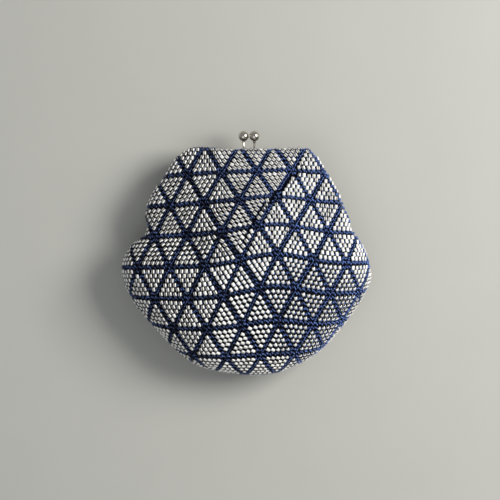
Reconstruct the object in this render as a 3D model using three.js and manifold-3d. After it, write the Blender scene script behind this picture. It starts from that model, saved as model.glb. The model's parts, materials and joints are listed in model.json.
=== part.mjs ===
// A kiss-lock coin purse in bead crochet, lying shut on its back.
// Two pressed arches, hinged at both ends, carry the mouth of a crocheted bag. Silver-lined
// cylinder beads fill the triangles of a lattice, and bare blue thread draws its lines.
// The purse is modelled about the middle of its hinge line: X runs along the hinge, Y towards
// the clasp and Z out of the front. At the end the whole is moved to stand on Z = 0 with the
// middle of its box over the origin.

import * as THREE from 'three';
import { mergeVertices } from 'three/addons/utils/BufferGeometryUtils.js';
import Module from 'manifold-3d';

const wasm = await Module();
wasm.setup();

// Sizes in millimetres

// Frame: the line that both arches follow, from hinge to hinge
const hingeHalfWidth = 44.8;
const kneeHeight = 9.8;
const kneeRadius = 18;
const shoulderHalfWidth = 28.8;
const archHeight = 37.2;
const shoulderRadius = 11;

// Frame: the pressed section
const sheet = 0.8;
const railDepth = 3.5;
const railParting = 0.15;
const flangeWidth = 6;
const flangeFoot = 5.5;
const running = 0.3;
const sewingHoleRadius = 0.6;
const sewingHolePitch = 5;
const sewingHoleInset = 2.2;

// Hinge
const lugRadius = 3.2;
const rivetRadius = 0.8;
const rivetHeadRadius = 1.8;
const rivetHeadHeight = 0.6;

// Clasp
const ballRadius = 2.45;
const ballSpacing = 5.1;
const ballHeight = 10.5;
const stemRadius = 0.52;
const stemFootDepth = 1.4;
const ballCrossing = 0.3;
const footHeadRadius = 0.9;
const footHeadHeight = 0.5;

// Crochet
const clothThickness = 3;
const lipGap = 2.2;
const slitFoot = 3;
const frontCrest = 22;
const backCrest = 18.5;
const backDepth = 16;
const backArchDepth = 6.8;
const frontArchDepth = 6.8;
const bagCentre = new THREE.Vector2(0, -12);

// Outline of the belly below the hinge line, from the left hinge round to the right one. Each
// point has its distance out as a share of the mouth's half width, and its height.
const bellyOutline = [
  [-1.11, -3], [-1.212, -12.5], [-1.2, -21], [-1.08, -33], [-0.846, -47], [-0.54, -60.6],
  [-0.228, -65.2], [0.058, -66.5], [0.3, -65], [0.636, -56.5], [0.86, -45.4], [1.074, -30.4],
  [1.168, -19.6], [1.146, -11.5], [1.068, -1.5],
];

// Lattice of the bead pattern, laid out on the flat cloth
const latticePitch = 17;
const latticeRow = 15;
const latticeNode = new THREE.Vector2(-46.6, 31.1);
const latticeTurn = 0.02;
const clothSpread = 1.06;
const clothRoll = 0.63;
const lineHalfWidth = 2.1;
const beadRelief = 0.9;

// The belly pushes the rounds of the front up towards the clasp
const rise = { height: 5.3, x: 12, y: -21, halfWidth: 20, halfHeight: 42 };

// Soft folds of the front: where the cloth leaves the frame's flat and the belly begins
const folds = [
  { from: [19.5, 29], to: [1.4, 5.7], depth: 1.6, halfWidth: 5 },
  { from: [1.4, 5.7], to: [-4.3, -9], depth: 1.6, halfWidth: 5 },
  { from: [-8, -16], to: [-46, -15], depth: 1.8, halfWidth: 4.5 },
];

// Lining
const liningThickness = 0.8;

// Fineness
const archStep = THREE.MathUtils.degToRad(11);
const outlineCount = 48;
const pillowSpokes = 40;
const rimStart = 0.9;
const rimSplit = 0.965;

// Solids and meshes

function solidOf(geometry) {
  const bare = geometry.clone();
  bare.deleteAttribute('normal');
  bare.deleteAttribute('uv');
  const merged = mergeVertices(bare, 1e-4);
  return new wasm.Manifold(new wasm.Mesh({
    numProp: 3,
    vertProperties: new Float32Array(merged.attributes.position.array),
    triVerts: new Uint32Array(merged.index.array),
  }));
}

function geometryOf(solid) {
  const mesh = solid.getMesh();
  const geometry = new THREE.BufferGeometry();
  geometry.setAttribute('position', new THREE.BufferAttribute(new Float32Array(mesh.vertProperties), 3));
  geometry.setIndex(new THREE.BufferAttribute(new Uint32Array(mesh.triVerts), 1));
  geometry.computeVertexNormals();
  return geometry;
}

function indexed(positions, triangles) {
  const geometry = new THREE.BufferGeometry();
  geometry.setAttribute('position', new THREE.Float32BufferAttribute(positions.flat(), 3));
  geometry.setIndex(triangles.flat());
  return geometry;
}

function block(x0, x1, y0, y1, z0, z1) {
  const geometry = new THREE.BoxGeometry(x1 - x0, y1 - y0, z1 - z0);
  return solidOf(geometry.translate((x0 + x1) / 2, (y0 + y1) / 2, (z0 + z1) / 2));
}

// A round bar along X between two places, centred on the hinge line
function barAlongX(radius, x0, x1, sides = 24) {
  const geometry = new THREE.CylinderGeometry(radius, radius, Math.abs(x1 - x0), sides);
  return solidOf(geometry.rotateZ(Math.PI / 2).translate((x0 + x1) / 2, 0, 0));
}

// The arch: straight lengths and round corners, each point with its outward direction

function archStations(foot) {
  const corners = [
    { at: [-hingeHalfWidth, kneeHeight], radius: kneeRadius },
    { at: [-shoulderHalfWidth, archHeight], radius: shoulderRadius },
    { at: [shoulderHalfWidth, archHeight], radius: shoulderRadius },
    { at: [hingeHalfWidth, kneeHeight], radius: kneeRadius },
  ];
  const ends = [[-hingeHalfWidth, foot], [hingeHalfWidth, foot]];
  const stations = [];
  const add = (point, normal) => stations.push({ point, normal });
  add(new THREE.Vector2(...ends[0]), new THREE.Vector2(-1, 0));
  corners.forEach((corner, i) => {
    const at = new THREE.Vector2(...corner.at);
    const before = new THREE.Vector2(...(i === 0 ? ends[0] : corners[i - 1].at));
    const after = new THREE.Vector2(...(i === 3 ? ends[1] : corners[i + 1].at));
    const arriving = at.clone().sub(before).normalize();
    const leaving = after.clone().sub(at).normalize();
    const turn = Math.acos(THREE.MathUtils.clamp(arriving.dot(leaving), -1, 1));
    const setback = corner.radius * Math.tan(turn / 2);
    const start = at.clone().addScaledVector(arriving, -setback);
    const outward = new THREE.Vector2(-arriving.y, arriving.x);
    const centre = start.clone().addScaledVector(outward, -corner.radius);
    const steps = Math.max(2, Math.ceil(turn / archStep));
    for (let k = 0; k <= steps; k += 1) {
      const normal = outward.clone().rotateAround(new THREE.Vector2(), -turn * k / steps);
      add(centre.clone().addScaledVector(normal, corner.radius), normal);
    }
  });
  add(new THREE.Vector2(...ends[1]), new THREE.Vector2(1, 0));
  return stations;
}

// A section of (outward distance, z) points, carried along the arch and capped at both feet
function alongArch(section, foot) {
  const stations = archStations(foot);
  const positions = [];
  for (const { point, normal } of stations) {
    for (const [outward, z] of section) {
      positions.push([point.x + normal.x * outward, point.y + normal.y * outward, z]);
    }
  }
  const n = section.length;
  const triangles = [];
  for (let i = 0; i + 1 < stations.length; i += 1) {
    for (let j = 0; j < n; j += 1) {
      const a = i * n + j;
      const b = i * n + (j + 1) % n;
      triangles.push([a, a + n, b], [b, a + n, b + n]);
    }
  }
  const last = (stations.length - 1) * n;
  for (let j = 1; j + 1 < n; j += 1) {
    triangles.push([0, j, j + 1], [last, last + j + 1, last + j]);
  }
  return solidOf(indexed(positions, triangles));
}

function bar(d0, d1, z0, z1, foot) {
  return alongArch([[d0, z0], [d0, z1], [d1, z1], [d1, z0]], foot);
}

// Frame halves. The rear rim stands on the arch line and the front rim closes round it.
const rearRim = 0;
const frontRim = sheet + running;
const frameOutside = frontRim + sheet;

function archLength() {
  const stations = archStations(flangeFoot);
  let length = 0;
  for (let i = 1; i < stations.length; i += 1) {
    length += stations[i].point.distanceTo(stations[i - 1].point);
  }
  return { stations, length };
}

function sewingHoles(side) {
  const { stations, length } = archLength();
  const count = Math.floor(length / sewingHolePitch);
  const first = (length - (count - 1) * sewingHolePitch) / 2;
  let holes = null;
  let walked = 0;
  let next = 0;
  for (let i = 1; i < stations.length; i += 1) {
    const from = stations[i - 1];
    const to = stations[i];
    const span = to.point.distanceTo(from.point);
    while (next < count && first + next * sewingHolePitch <= walked + span) {
      const share = (first + next * sewingHolePitch - walked) / span;
      const point = from.point.clone().lerp(to.point, share);
      const normal = from.normal.clone().lerp(to.normal, share).normalize();
      point.addScaledVector(normal, sewingHoleInset - flangeWidth);
      const drill = new THREE.CylinderGeometry(sewingHoleRadius, sewingHoleRadius, 3 * sheet, 8);
      drill.rotateX(Math.PI / 2).translate(point.x, point.y, side * (railDepth - sheet / 2));
      const hole = solidOf(drill);
      holes = holes ? holes.add(hole) : hole;
      next += 1;
    }
    walked += span;
  }
  return holes;
}

function frameHalf(side, rim) {
  const near = side > 0 ? railParting : -railDepth;
  const far = side > 0 ? railDepth : -railParting;
  let half = bar(rim, rim + sheet, near, far, 0);
  const outerFace = side > 0 ? railDepth - sheet : -railDepth;
  half = half.add(bar(-flangeWidth, rim + sheet / 2, outerFace, outerFace + sheet, flangeFoot));
  for (const hand of [-1, 1]) {
    const inner = hand * (hingeHalfWidth + rim);
    const outer = hand * (hingeHalfWidth + rim + sheet);
    half = half.add(barAlongX(lugRadius, inner, outer));
    half = half.subtract(barAlongX(rivetRadius + running, inner - hand, outer + hand));
  }
  half = half.subtract(sewingHoles(side));
  const foot = new THREE.CylinderGeometry(stemRadius + running, stemRadius + running, 4 * sheet, 12);
  foot.translate(-side * ballSpacing / 2, archHeight + rim, side * stemFootDepth);
  return half.subtract(solidOf(foot));
}

// Clasp ball: one turned stud with a foot closed over inside the rim. Its stem leans, so that
// each ball lies a little past the other one.
function claspBall(side, rim) {
  const rimInside = archHeight + rim;
  const rimOutside = rimInside + sheet;
  const top = archHeight + ballHeight;
  const neck = ballRadius * 0.86;
  const profile = [
    [0, rimInside - running - footHeadHeight],
    [footHeadRadius, rimInside - running - footHeadHeight],
    [footHeadRadius, rimInside - running],
    [stemRadius, rimInside - running],
    [stemRadius, rimOutside + running],
    [stemRadius * 1.9, rimOutside + running],
    [stemRadius * 1.9, rimOutside + running + 0.5],
    [stemRadius, rimOutside + running + 1.1],
    [stemRadius, top - ballRadius - 1.1],
    [stemRadius * 2.1, top - neck],
  ];
  const startAngle = Math.asin(stemRadius * 2.1 / ballRadius);
  const steps = 8;
  for (let k = 1; k <= steps; k += 1) {
    const angle = startAngle + (Math.PI - startAngle) * k / steps;
    const radius = k === steps ? 0 : ballRadius * Math.sin(angle);
    profile.push([radius, top - ballRadius * Math.cos(angle)]);
  }
  const geometry = new THREE.LatheGeometry(profile.map((p) => new THREE.Vector2(...p)), 18);
  const lean = Math.atan2(stemFootDepth + ballCrossing, top - rimInside);
  geometry.translate(0, -rimInside, 0);
  geometry.rotateX(-side * lean);
  geometry.translate(-side * ballSpacing / 2, rimInside, side * stemFootDepth);
  return solidOf(geometry);
}

function hingeRivet(hand) {
  const inside = hingeHalfWidth - running;
  const outside = hingeHalfWidth + frameOutside + running;
  const shaft = barAlongX(rivetRadius, hand * (inside - rivetHeadHeight), hand * (outside + rivetHeadHeight));
  const innerHead = barAlongX(rivetHeadRadius, hand * (inside - rivetHeadHeight), hand * inside, 20);
  const outerHead = barAlongX(rivetHeadRadius, hand * outside, hand * (outside + rivetHeadHeight), 20);
  return shaft.add(innerHead).add(outerHead);
}

// Outline of the bag, as a radius about its centre for any direction.
// Round the mouth it runs a cloth's thickness outside the frame, and below it is the belly.
const clothSeat = frameOutside + running;
const mouthHalfWidth = hingeHalfWidth + clothSeat + clothThickness;

function outlineRadii() {
  const mouth = archStations(0).slice(1, -1).map(({ point, normal }) => (
    point.clone().addScaledVector(normal, clothSeat + clothThickness)));
  const belly = bellyOutline.map(([share, y]) => new THREE.Vector2(share * mouthHalfWidth, y));
  const ring = [...belly, ...mouth.reverse()].map((p) => new THREE.Vector3(p.x, p.y, 0));
  const curve = new THREE.CatmullRomCurve3(ring, true, 'centripetal');
  const samples = curve.getPoints(720).map((p) => {
    const x = p.x - bagCentre.x;
    const y = p.y - bagCentre.y;
    return { angle: Math.atan2(y, x), radius: Math.hypot(x, y) };
  });
  samples.pop();
  samples.sort((a, b) => a.angle - b.angle);
  return samples;
}

const samples = outlineRadii();

function outlineRadius(angle) {
  const turn = 2 * Math.PI;
  const wrapped = THREE.MathUtils.euclideanModulo(angle + Math.PI, turn) - Math.PI;
  let low = 0;
  let high = samples.length;
  while (low < high) {
    const middle = (low + high) >> 1;
    if (samples[middle].angle < wrapped) low = middle + 1;
    else high = middle;
  }
  const after = samples[low % samples.length];
  const before = samples[(low + samples.length - 1) % samples.length];
  const span = THREE.MathUtils.euclideanModulo(after.angle - before.angle, turn);
  const share = THREE.MathUtils.euclideanModulo(wrapped - before.angle, turn) / span;
  return THREE.MathUtils.lerp(before.radius, after.radius, share);
}

// Height of the outer cloth over the plane of the frame, from the share of the way to the
// outline. The mouth is a wedge that ends over the frame, and the belly is full and round.
function mouthShare(angle) {
  const y = bagCentre.y + outlineRadius(angle) * Math.sin(angle);
  return THREE.MathUtils.smoothstep(y, -16, 8);
}

function clothHeight(share, angle, crest, archDepth) {
  const mouth = mouthShare(angle);
  const wedge = archDepth + (crest - archDepth) * Math.cos(Math.PI * share / 2) ** 2;
  const closed = Math.sqrt(Math.max(0, 1 - share ** 24));
  const round = crest * Math.sqrt(Math.max(0, 1 - share ** 2.6));
  return mouth * wedge * closed + (1 - mouth) * round;
}

function foldDepth(x, y) {
  const here = new THREE.Vector3(x, y, 0);
  let deepest = 0;
  for (const fold of folds) {
    const line = new THREE.Line3(new THREE.Vector3(...fold.from, 0), new THREE.Vector3(...fold.to, 0));
    const nearest = line.closestPointToPoint(here, true, new THREE.Vector3());
    const away = here.distanceTo(nearest) / fold.halfWidth;
    deepest = Math.max(deepest, fold.depth * Math.exp(-away * away));
  }
  return deepest;
}

// A place on the cloth, given by its direction and its share of the way from middle to edge
function clothPoint(angle, way, side, inset) {
  const radius = outlineRadius(angle) - inset;
  const share = Math.sin(clothRoll * way) / Math.sin(clothRoll);
  const x = bagCentre.x + radius * share * Math.cos(angle);
  let y = bagCentre.y + radius * share * Math.sin(angle);
  const crest = (side > 0 ? frontCrest : backCrest) - inset;
  const archDepth = (side > 0 ? frontArchDepth : backArchDepth) - inset;
  let height = clothHeight(share, angle, crest, archDepth);
  if (side > 0) {
    const free = 1 - way ** 4;
    const across = (x - rise.x) / rise.halfWidth;
    const along = (y - rise.y) / rise.halfHeight;
    height -= foldDepth(x, y) * free;
    y += rise.height * free * Math.exp(-across * across - along * along);
  } else {
    height = Math.min(height, backDepth - beadRelief - inset);
  }
  return new THREE.Vector3(x, y, side * height);
}

// Flat cloth, on which the bead lattice is regular

function latticePoint(column, row) {
  const point = new THREE.Vector2(column * latticePitch / 2, -row * latticeRow);
  return point.add(latticeNode).rotateAround(new THREE.Vector2(), latticeTurn);
}

function flatRadius(angle) {
  return clothSpread * outlineRadius(angle);
}

function wayOf(point) {
  const offset = point.clone().sub(bagCentre);
  const angle = offset.angle();
  return { angle, way: offset.length() / flatRadius(angle) };
}

// One at the flat top of a bead field, falling to nothing along the thread lines
function fieldLevel(point) {
  const local = point.clone().rotateAround(new THREE.Vector2(), -latticeTurn).sub(latticeNode);
  const slant = Math.hypot(latticePitch / 2, latticeRow);
  const families = [
    [local.y, latticeRow],
    [(local.x * latticeRow + local.y * latticePitch / 2) / slant, latticePitch * latticeRow / slant],
    [(local.x * latticeRow - local.y * latticePitch / 2) / slant, latticePitch * latticeRow / slant],
  ];
  let nearest = Infinity;
  for (const [distance, spacing] of families) {
    const from = Math.abs(distance - Math.round(distance / spacing) * spacing);
    nearest = Math.min(nearest, from);
  }
  return Math.min(1, nearest / lineHalfWidth);
}

function relieved(point, side) {
  const { angle, way } = wayOf(point);
  if (way > 0.9999) return clothPoint(angle, 1, side, 0);
  const here = clothPoint(angle, way, side, 0);
  const step = 0.4;
  const probe = (dx, dy) => {
    const moved = wayOf(point.clone().add(new THREE.Vector2(dx, dy)));
    return clothPoint(moved.angle, Math.min(moved.way, 0.9999), side, 0);
  };
  const along = probe(step, 0).sub(probe(-step, 0));
  const across = probe(0, step).sub(probe(0, -step));
  const normal = along.cross(across).multiplyScalar(side).normalize();
  const fade = 1 - THREE.MathUtils.smoothstep(way, rimSplit - 0.02, 1);
  return here.addScaledVector(normal, beadRelief * fieldLevel(point) * fade);
}

// Each lattice triangle is four field pieces and six sloping pieces down to the lines.
// The field is the triangle drawn in about the centre of its inscribed circle.
function latticePieces(nodes) {
  const sides = nodes.map((node, k) => nodes[(k + 1) % 3].distanceTo(nodes[(k + 2) % 3]));
  const girth = sides[0] + sides[1] + sides[2];
  const middle = new THREE.Vector2();
  nodes.forEach((node, k) => middle.addScaledVector(node, sides[k] / girth));
  const one = nodes[1].clone().sub(nodes[0]);
  const inradius = Math.abs(one.cross(nodes[2].clone().sub(nodes[0]))) / girth;
  const shrink = 1 - lineHalfWidth / inradius;
  const field = nodes.map((node) => middle.clone().lerp(node, shrink));
  const half = (list, k) => list[k].clone().lerp(list[(k + 1) % 3], 0.5);
  const pieces = [[half(field, 0), half(field, 1), half(field, 2)]];
  for (let k = 0; k < 3; k += 1) {
    const next = (k + 1) % 3;
    const before = (k + 2) % 3;
    pieces.push([field[k], half(field, k), half(field, before)]);
    pieces.push([nodes[k], half(nodes, k), half(field, k), field[k]]);
    pieces.push([half(nodes, k), nodes[next], field[next], half(field, k)]);
  }
  return pieces;
}

// Part of the outline polygon inside one convex piece
function clip(outline, piece) {
  let polygon = outline;
  for (let k = 0; k < piece.length; k += 1) {
    const from = piece[k];
    const along = piece[(k + 1) % piece.length].clone().sub(from);
    const inside = (p) => along.x * (p.y - from.y) - along.y * (p.x - from.x);
    const kept = [];
    for (let i = 0; i < polygon.length; i += 1) {
      const here = polygon[i];
      const next = polygon[(i + 1) % polygon.length];
      const a = inside(here);
      const b = inside(next);
      if (a >= 0) kept.push(here);
      if ((a > 0 && b < 0) || (a < 0 && b > 0)) kept.push(here.clone().lerp(next, a / (a - b)));
    }
    polygon = kept;
  }
  return polygon;
}

// The middle of the cloth in lattice pieces, cut off at one ring, as points and triangles
function clothCore() {
  const outline = [];
  for (let k = 0; k < outlineCount; k += 1) {
    const angle = 2 * Math.PI * k / outlineCount;
    const radius = rimStart * flatRadius(angle);
    outline.push(new THREE.Vector2(radius, 0).rotateAround(new THREE.Vector2(), angle).add(bagCentre));
  }
  const points = [];
  const known = new Map();
  const triangles = [];
  const indexOf = (p) => {
    const key = `${Math.round(p.x * 500)},${Math.round(p.y * 500)}`;
    if (!known.has(key)) {
      known.set(key, points.length);
      points.push(p);
    }
    return known.get(key);
  };
  const columns = 12;
  const rows = 6;
  for (let row = -rows; row <= rows * 2; row += 1) {
    for (let column = -columns; column <= columns * 2; column += 1) {
      const even = (column + row) % 2 === 0;
      const left = column - 1;
      const right = column + 1;
      const corners = even
        ? [latticePoint(column, row), latticePoint(left, row + 1), latticePoint(right, row + 1)]
        : [latticePoint(left, row), latticePoint(column, row + 1), latticePoint(right, row)];
      if (corners.every((p) => wayOf(p).way > 1.3)) continue;
      for (const piece of latticePieces(corners)) {
        const whole = piece.every((p) => wayOf(p).way < rimStart - 0.06);
        const polygon = whole ? piece : clip(outline, piece);
        if (polygon.length < 3) continue;
        const indices = polygon.map(indexOf).filter((v, i, all) => v !== all[(i + all.length - 1) % all.length]);
        if (indices.length < 3) continue;
        const contour = indices.map((v) => points[v]);
        for (const face of THREE.ShapeUtils.triangulateShape(contour, [])) {
          triangles.push(face.map((v) => indices[v]));
        }
      }
    }
  }
  return { points, triangles };
}

function boundaryLoop({ points, triangles }) {
  const edges = new Map();
  for (const [a, b, c] of triangles) {
    for (const [from, to] of [[a, b], [b, c], [c, a]]) {
      if (edges.has(`${to},${from}`)) edges.delete(`${to},${from}`);
      else edges.set(`${from},${to}`, [from, to]);
    }
  }
  const loop = [...edges.values()].map(([from]) => from);
  return loop.sort((a, b) => wayOf(points[a]).angle - wayOf(points[b]).angle);
}

function outerCloth() {
  const core = clothCore();
  const loop = boundaryLoop(core);
  const n = loop.length;
  const rings = [rimSplit, 1].map((way) => loop.map((v) => (
    core.points[v].clone().sub(bagCentre).multiplyScalar(way / rimStart).add(bagCentre))));
  const positions = [];
  const place = (point, side) => {
    const p = relieved(point, side);
    positions.push([p.x, p.y, p.z]);
    return positions.length - 1;
  };
  const triangles = [];
  const edge = rings[1].map((p) => place(p, 1));
  for (const side of [1, -1]) {
    const face = (a, b, c) => triangles.push(side > 0 ? [a, b, c] : [a, c, b]);
    const first = core.points.map((p) => place(p, side));
    const split = rings[0].map((p) => place(p, side));
    core.triangles.forEach(([a, b, c]) => face(first[a], first[b], first[c]));
    const inner = loop.map((v) => first[v]);
    for (const [from, to] of [[inner, split], [split, edge]]) {
      for (let k = 0; k < n; k += 1) {
        const m = (k + 1) % n;
        face(from[k], to[k], to[m]);
        face(from[k], to[m], from[m]);
      }
    }
  }
  return solidOf(indexed(positions, triangles));
}

// A plain pillow inside the cloth, used for the hollow and for the lining
function pillow(inset) {
  const spokes = pillowSpokes;
  const ways = [0.3, 0.55, 0.75, 0.9, 0.97];
  const positions = [];
  const triangles = [];
  const ring = (way, side) => {
    const start = positions.length;
    for (let k = 0; k < spokes; k += 1) {
      const p = clothPoint(2 * Math.PI * k / spokes, way, side, inset);
      positions.push([p.x, p.y, p.z]);
    }
    return start;
  };
  const edge = ring(1, 1);
  for (const side of [1, -1]) {
    const face = (a, b, c) => triangles.push(side > 0 ? [a, b, c] : [a, c, b]);
    const top = clothPoint(0, 0, side, inset);
    positions.push([top.x, top.y, top.z]);
    const middle = positions.length - 1;
    const starts = [...ways.map((way) => ring(way, side)), edge];
    for (let k = 0; k < spokes; k += 1) {
      const m = (k + 1) % spokes;
      face(middle, starts[0] + k, starts[0] + m);
      for (let i = 0; i + 1 < starts.length; i += 1) {
        face(starts[i] + k, starts[i + 1] + k, starts[i + 1] + m);
        face(starts[i] + k, starts[i + 1] + m, starts[i] + m);
      }
    }
  }
  return solidOf(indexed(positions, triangles));
}

function crochetBag() {
  const reach = 100;
  const hollow = pillow(clothThickness);
  const seatDepth = railDepth + running;
  const frameSeat = bar(-flangeWidth - running, clothSeat, -seatDepth, seatDepth, 0);
  const slit = block(-reach, reach, -slitFoot, reach, -lipGap, lipGap);
  const notchHalf = ballSpacing / 2 + stemRadius * 1.9 + running;
  const notch = block(-notchHalf, notchHalf, archHeight - flangeWidth, reach, -railDepth, railDepth);
  let bag = outerCloth().subtract(hollow).subtract(frameSeat).subtract(slit).subtract(notch);
  for (const hand of [-1, 1]) {
    const inner = hand * (hingeHalfWidth - 4);
    const outer = hand * (hingeHalfWidth + frameOutside + rivetHeadHeight + 2 * running);
    bag = bag.subtract(barAlongX(lugRadius + 2 * running, inner, outer, 16));
  }
  return bag;
}

// The lining hangs from the inner edges of the flanges and stops short of them
function liningBag() {
  const shell = pillow(clothThickness + running).subtract(pillow(clothThickness + running + liningThickness));
  const zone = railDepth * 4;
  const frameZone = bar(-flangeWidth - running, 40, -zone, zone, -lugRadius * 2);
  return shell.subtract(frameZone);
}

// Materials

const nickel = () => new THREE.MeshStandardMaterial({ color: 0xc9c2b4, roughness: 0.22, metalness: 1 });
const beadedCloth = new THREE.MeshStandardMaterial({ color: 0x9298ad, roughness: 0.5, metalness: 0.1 });
const cotton = new THREE.MeshStandardMaterial({ color: 0x8fa0bf, roughness: 0.9, metalness: 0 });

function named(name, solid, material) {
  const mesh = new THREE.Mesh(geometryOf(solid), material);
  mesh.name = name;
  return mesh;
}

const purse = new THREE.Group();

const rearHalf = new THREE.Group();
rearHalf.add(named('rear_frame', frameHalf(-1, rearRim), nickel()));
rearHalf.add(named('rear_clasp_ball', claspBall(-1, rearRim), nickel()));
rearHalf.add(named('hinge_rivet_left', hingeRivet(-1), nickel()));
rearHalf.add(named('hinge_rivet_right', hingeRivet(1), nickel()));
rearHalf.add(named('crochet_bag', crochetBag(), beadedCloth));
rearHalf.add(named('lining', liningBag(), cotton));
purse.add(rearHalf);

const frontHalf = new THREE.Group();
frontHalf.add(named('front_frame', frameHalf(1, frontRim), nickel()));
frontHalf.add(named('front_clasp_ball', claspBall(1, frontRim), nickel()));
purse.add(frontHalf);

// Stand the purse on Z = 0, with the middle of its box over the origin
const box = new THREE.Box3().setFromObject(purse);
const middle = box.getCenter(new THREE.Vector3());
purse.position.set(-middle.x, -middle.y, -box.min.z);
purse.updateMatrixWorld(true);

export default purse;
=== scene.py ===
import json
import math

import bpy
import numpy as np
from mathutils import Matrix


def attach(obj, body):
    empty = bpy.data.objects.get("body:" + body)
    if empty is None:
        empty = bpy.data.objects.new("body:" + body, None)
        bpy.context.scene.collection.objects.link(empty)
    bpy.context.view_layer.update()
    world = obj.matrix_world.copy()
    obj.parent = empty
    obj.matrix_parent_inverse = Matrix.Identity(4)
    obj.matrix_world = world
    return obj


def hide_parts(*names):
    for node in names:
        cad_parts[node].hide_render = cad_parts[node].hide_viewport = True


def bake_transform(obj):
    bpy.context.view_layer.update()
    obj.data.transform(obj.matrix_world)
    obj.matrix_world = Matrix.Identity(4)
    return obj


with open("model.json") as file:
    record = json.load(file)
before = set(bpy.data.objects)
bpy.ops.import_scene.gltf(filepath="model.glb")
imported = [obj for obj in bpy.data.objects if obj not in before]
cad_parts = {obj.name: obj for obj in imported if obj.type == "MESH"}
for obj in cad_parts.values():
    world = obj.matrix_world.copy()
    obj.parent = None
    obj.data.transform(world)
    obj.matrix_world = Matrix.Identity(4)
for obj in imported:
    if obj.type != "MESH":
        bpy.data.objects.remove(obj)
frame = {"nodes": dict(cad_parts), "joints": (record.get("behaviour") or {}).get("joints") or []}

bl_info = {
    "name": "Bead crochet coin purse",
    "version": (1, 0, 0),
    "blender": (4, 5, 0),
    "location": "3D View > Sidebar > Purse",
    "description": "A kiss-lock coin purse in bead crochet, lying shut on its back",
    "category": "Add Mesh",
}

# Shapes are worked out in millimetres about the middle of the hinge line: x runs along the
# hinge, y towards the clasp and z out of the front. The joint gives that line's place.
HINGE = 1000.0 * np.array(frame["joints"][0]["pos_m"])
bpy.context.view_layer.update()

# Arch of the frame, from hinge to hinge, and what seats on it
HINGE_HALF_WIDTH = 44.8
ARCH_CORNERS = (((-44.8, 9.8), 18.0), ((-28.8, 37.2), 11.0), ((28.8, 37.2), 11.0), ((44.8, 9.8), 18.0))
ARCH_HEIGHT = 37.2
SHEET = 0.8
RUNNING = 0.3
FRONT_RIM = 1.1
RAIL_DEPTH = 3.5
FLANGE_WIDTH = 6.0
HOLE_INSET = 2.2
HOLE_PITCH = 5.0
SEAM_START = 5.0
CLOTH_OUTSIDE = 5.2

# Bag
BAG_CENTRE = np.array([0.0, -12.0])
BELLY = (
    (-55.5, -3), (-60.6, -12.5), (-60, -21), (-54, -33), (-42.3, -47), (-27, -60.6), (-11.4, -65.2),
    (2.9, -66.5), (15, -65), (31.8, -56.5), (43, -45.4), (53.7, -30.4), (58.4, -19.6), (57.3, -11.5),
    (53.4, -1.5),
)
FRONT_CREST = 22.0
BACK_CREST = 18.5
ARCH_DEPTH = 6.8
BACK_DEPTH = 16.0
LIP_GAP = 2.2
RIM_POWER = 24
BELLY_POWER = 2.6
RELIEF_POWER = 8
CLOTH_SPREAD = 1.06
CLOTH_ROLL = 0.63
ROLL_START = 0.82

# Heights of the outline over the hinge between which belly turns to mouth and the lips part
MOUTH_BLEND = (-16, 8)
LIP_BLEND = (-6, 0)

# Insets of the cloth's faces and the lining's from the bag's surface, and the lining's pleats
GROUND_INSETS = (0.75, 2.3)
LINING_INSETS = (3.4, 4.0)
HEM_ROOM = 3.3
PLEATS = 50
PLEAT_DEPTH = 0.3

# Lattice of thread lines, with seven stitches and seven rounds from node to node
LATTICE_NODE = np.array([-46.6, 31.1])
LATTICE_PITCH = 17.0
LATTICE_ROW = 15.0
LATTICE_TURN = 0.02
REPEAT = 7
STITCH = LATTICE_PITCH / REPEAT
ROUND = LATTICE_ROW / REPEAT

# The sharp crease, where the cloth folds in and its stitches part: its line, the depths of its
# parts, their half width, how far each side stands off, how far that reaches, and over what
# length it grows at the start and dies out at the end
CREASE = ((24.5, 31.0), (7.0, 11.5), (1.4, 4.0), (-4.3, -10.5))
CREASE_DEPTHS = (2.4, 2.4, 1.4)
CREASE_HALF_WIDTH = 1.9
CREASE_PART = 0.55
CREASE_REACH = 5.0
CREASE_GROWS = 6
CREASE_DIES = 10

# Folds of the front, with those of the crease: from, to, depth and half width
FOLDS = (
    ((19.5, 29.0), (1.4, 5.7), 1.6, 5.0),
    ((1.4, 5.7), (-4.3, -9.0), 1.6, 5.0),
    ((-8.0, -16.0), (-46.0, -15.0), 1.8, 4.5),
    ((-8.0, -16.0), (-50.0, -16.0), 1.2, 1.8),
    *((*ends, CREASE_HALF_WIDTH) for ends in zip(CREASE, CREASE[1:], CREASE_DEPTHS)),
)

# How far the shut bag lies out from its even outline: direction in degrees and millimetres
SLACK = (
    (5, 0), (22, -1.3), (28, -2.0), (38, -0.9), (54, -1.0), (62, 0.9), (75, 0), (105, 0), (117, 1.0),
    (127, 0.9), (144, 1.7), (151, 1.3), (158, 0), (166, -2.4), (172, -0.3), (178, 0),
)

# Where the front is pushed up towards the clasp: how far, the middle of it and how far it reaches
RISE = 5.3
RISE_CENTRE = (12.0, -21.0)
RISE_REACH = (20.0, 42.0)

# Lowest that a stitch may lie: over the lip, and over the seam in front and behind. No stitch
# lies further than CLOTH_REACH from the middle on the flat cloth.
LIP_CLEAR = 0.25
SEAM_CLEAR = {1: 0.05, -1: 0.95}
CLOTH_REACH = 90

# Ends of threads: the last ring and the point past it in shares of the thread's radius, and the
# share of its painted highlight that a thread's colour keeps where it dives, a painted shade, with the power
# of its bow.
# THREAD_SCATTER is the spread of a thread's place in millimetres.
END_TAPER = 0.7
END_LENGTH = 0.6
END_TONE = 0.04
CROWN_POWER = 2.2
THREAD_SCATTER = 0.09

# How beads are shaped, and how those of the back lie: lean and stand in degrees, and sunk in
BEAD_END_ROUND = 0.13
BEAD_HOLE_DEPTH = 0.6
BACK_LEAN = -18.0
BACK_STAND = 6.0
BACK_SUNK = 0.15

# Spread of single beads about that: lean and stand in degrees, and place in millimetres
LEAN_SPREAD = 6
STAND_SPREAD = 3
SWAY = 0.07

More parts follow.
